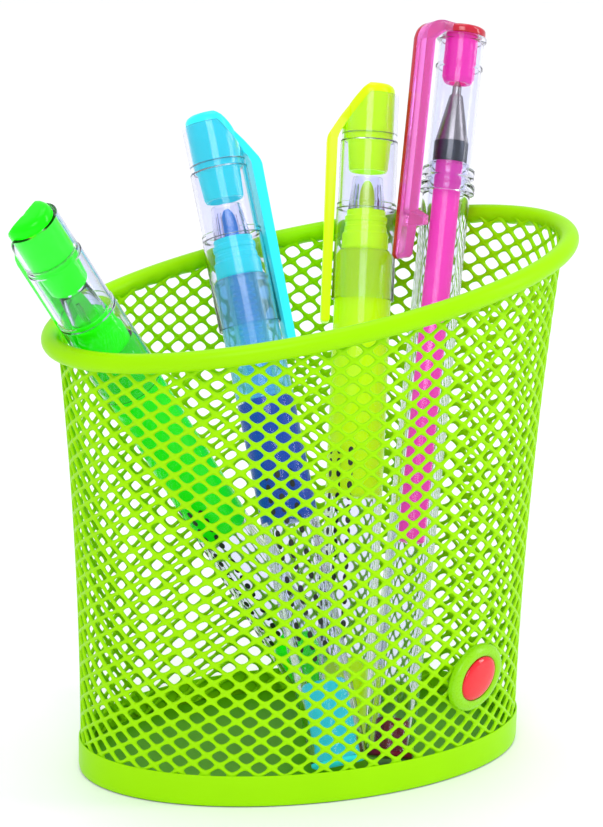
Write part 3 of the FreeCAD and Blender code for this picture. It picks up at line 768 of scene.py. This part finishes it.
def gel_cap_tube():
    mouth = GEL - 35.8
    upper = GEL - 30.5
    ridge = GEL - 8.4
    return lathe(soften([(4.2, mouth), (5.85, mouth), (5.85, mouth + 2.0), (4.75, mouth + 2.1),
                         (4.75, upper - 2.1), (5.5, upper - 2.0), (5.5, upper), (4.75, upper + 0.1),
                         (4.75, ridge - 0.8), (5.0, ridge - 0.6), (5.0, ridge), (4.75, ridge + 0.2),
                         (4.75, GEL_EDGE - 1.3), (5.2, GEL_EDGE - 1.1), (5.2, GEL_EDGE), (4.2, GEL_EDGE)],
                        0.25), segments=96)


def gel_seal():
    foot = GEL - 12.2
    bore_top = GEL - 8.4
    return lathe(soften([(0, GEL_EDGE), (3.4, GEL_EDGE), (3.4, foot + 1.2), (2.8, foot), (1.75, foot),
                         (1.7, bore_top), (0, bore_top)], 0.3, closed=False))


def gel_clip_side(first, last):
    """The slice of the clip between two distances across its width."""
    corner = [(10.3 - 4.0 * (1 - math.cos(a)), GEL - 4.0 + 4.0 * math.sin(a))
              for a in np.linspace(math.pi / 2, 0, 9)]
    outline = [(3.0, GEL)] + corner
    outline += [(10.3, GEL - 50.7), (9.7, GEL - 51.4), (8.9, GEL - 51.4), (8.4, GEL - 50.7),
                (8.4, GEL - 44.4),
                (5.35, GEL - 43.8), (5.35, GEL - 41.8), (8.4, GEL - 41.2), (8.4, GEL - 4.4),
                (6.0, GEL_EDGE), (3.0, GEL_EDGE)]
    verts, faces = slab(outline, last - first, 0.25)
    return verts + np.array([0, (first + last) / 2, 0]), faces


def gel_disc(foot, top):
    return lathe(soften([(0, foot), (4.9, foot), (4.9, top - 0.5), (4.3, top), (0, top)], 0.4, closed=False),
                 segments=96)


def build_gel_pen():
    place = pen_place("pink")
    # The ink, the seal and the clip's pale face carry a painted glow: emission in their own colours. The dark
    # red plug has none.
    ink = neon("pink_gel_ink", linear(255, 60, 184), glow=0.4, rough=0.15)
    plug = neon("dark_red_plug", linear(150, 30, 62), glow=0.0, rough=0.2)
    seal = neon("pink_seal_plastic", linear(255, 50, 180), glow=0.28, rough=0.15)
    # Red for the cap's top disc, and also painted edge glow on one side of the clip.
    red = finish_of("red_plastic_and_painted_edge_glow", linear(214, 8, 52), rough=0.1, spread=0.03, vary=0.04, bump=0.03,
                    Transmission_Weight=0.3, IOR=1.45, Specular_IOR_Level=0.4, Coat_Weight=0.4)
    pale = finish_of("pink_clear_plastic", linear(252, 138, 230), rough=0.14, spread=0.04, vary=0.04,
                     bump=0.03, Transmission_Weight=0.8, IOR=1.45, Specular_IOR_Level=0.3,
                     Emission_Color=linear(255, 90, 200), Emission_Strength=0.06)
    parts = (("barrel_shell", gel_barrel(), CLEAR, "pink_pen", "clear_shell", "barrel"),
             ("tail", gel_tail_plug(), plug, "pink_pen", "pink_neon", "tail_plug"),
             ("ink_fill", gel_ink(), ink, "pink_pen", "pink_ink_fill", "ink_tube"),
             ("knurled_collar", gel_collar(), COLLAR, "pink_pen", "collar_metal", "collar"),
             ("cone", gel_cone(), TIP, "pink_pen", "tip_metal", "cone_tip"),
             ("point", gel_point(), TIP, "pink_pen", "tip_metal", "ball_point"),
             ("cap_shell", gel_cap_tube(), CLEAR, "pink_cap", "clear_shell", "cap_tube"),
             ("seal", gel_seal(), seal, "pink_cap", "pink_neon", "cap_seal"),
             # The clip is one pale pink plastic. The deep red slice along one side of it is painted edge
             # glow, the light gathered at that edge.
             ("cap_top", joined(gel_disc(GEL_EDGE, GEL), gel_clip_side(-2.6, -1.3)), red, "pink_cap",
              "pink_neon", "cap_clip"),
             ("clip_face", gel_clip_side(-1.28, 2.6), pale, "pink_cap", "pink_neon", "cap_clip"))
    for name, shape, material, body, slot, node in parts:
        add_piece(f"pink_{name}", shape, material, body, (f"pink_{node}",), place)


# ---------------------------------------------------------------- stage, light and camera

def build_stage():
    mesh = bpy.data.meshes.new("table")
    mesh.from_pydata([(-6, -6, 0), (6, -6, 0), (6, 6, 0), (-6, 6, 0)], [], [(0, 1, 2, 3)])
    table = bpy.data.objects.new("table", mesh)
    bpy.context.collection.objects.link(table)
    table.location.z = -0.0002
    mesh.materials.append(finish_of("pale_table", linear(252, 252, 255), rough=0.6, vary=0.01, patch_mm=400.0,
                                    grain_mm=4.0, bump=0.02))


def area_light(name, spot, size, energy, aim=(0, 0, 0.07)):
    light = bpy.data.lights.new(name, "AREA")
    light.shape = "RECTANGLE"
    light.size, light.size_y = size
    light.energy = energy
    lamp = bpy.data.objects.new(name, light)
    lamp.location = spot
    lamp.rotation_euler = (Vector(aim) - Vector(spot)).to_track_quat("-Z", "Y").to_euler()
    bpy.context.collection.objects.link(lamp)


def build_light():
    world = bpy.data.worlds.new("studio")
    world.use_nodes = True
    world.node_tree.nodes["Background"].inputs["Color"].default_value = (0.97, 0.98, 1.0, 1)
    world.node_tree.nodes["Background"].inputs["Strength"].default_value = 0.85
    bpy.context.scene.world = world
    area_light("key", (-0.5, -1.0, 1.1), (0.7, 0.7), 7)
    area_light("side", (1.1, -0.5, 0.6), (0.25, 1.0), 4)
    area_light("top", (0.1, 0.3, 1.4), (0.8, 0.8), 4)


CAMERA_DISTANCE = 0.8183
CAMERA_AZIMUTH = -22.578
CAMERA_ELEVATION = 15.944
CAMERA_ROLL = 0.0138
CAMERA_TARGET = (0.00002, 0.0, 0.07455)


def build_camera():
    """Looks at the cup from its front left and a little above. Azimuth is counted from -Y."""
    azimuth = math.radians(CAMERA_AZIMUTH)
    elevation = math.radians(CAMERA_ELEVATION)
    away = Vector((math.sin(azimuth) * math.cos(elevation), -math.cos(azimuth) * math.cos(elevation),
                   math.sin(elevation)))
    right = Vector((math.cos(azimuth), math.sin(azimuth), 0))
    up = away.cross(right)
    turned_right = right * math.cos(CAMERA_ROLL) + up * math.sin(CAMERA_ROLL)
    turned_up = up * math.cos(CAMERA_ROLL) - right * math.sin(CAMERA_ROLL)
    data = bpy.data.cameras.new("camera")
    data.lens = 173.96
    data.sensor_width = 36
    data.shift_x = -0.00382
    data.shift_y = -0.0086
    camera = bpy.data.objects.new("camera", data)
    place = Matrix((turned_right, turned_up, away)).transposed().to_4x4()
    place.translation = Vector(CAMERA_TARGET) + away * CAMERA_DISTANCE
    camera.matrix_world = place
    bpy.context.collection.objects.link(camera)
    bpy.context.scene.camera = camera


build_camera()
build_stage()
build_light()
bpy.context.scene.view_settings.view_transform = "Standard"
build_cup()
build_badge()
build_marker("green", (14, 255, 0), (25, 225, 15), (70, 240, 60), (40, 235, 30), HOLDER_FOOT)
build_marker("blue", (46, 212, 226), (30, 70, 170), (50, 140, 220), (70, 180, 240), INK_TOP)
build_marker("yellow", (196, 255, 0), (190, 240, 5), (214, 250, 30), (200, 240, 20), HOLDER_FOOT)
print_speckle("green", 10, 22.0)
print_speckle("yellow", 10, 22.0)
add_feed_liquid("blue", (130, 218, 240))
print_speckle("blue", -22, 22.0)
build_gel_pen()
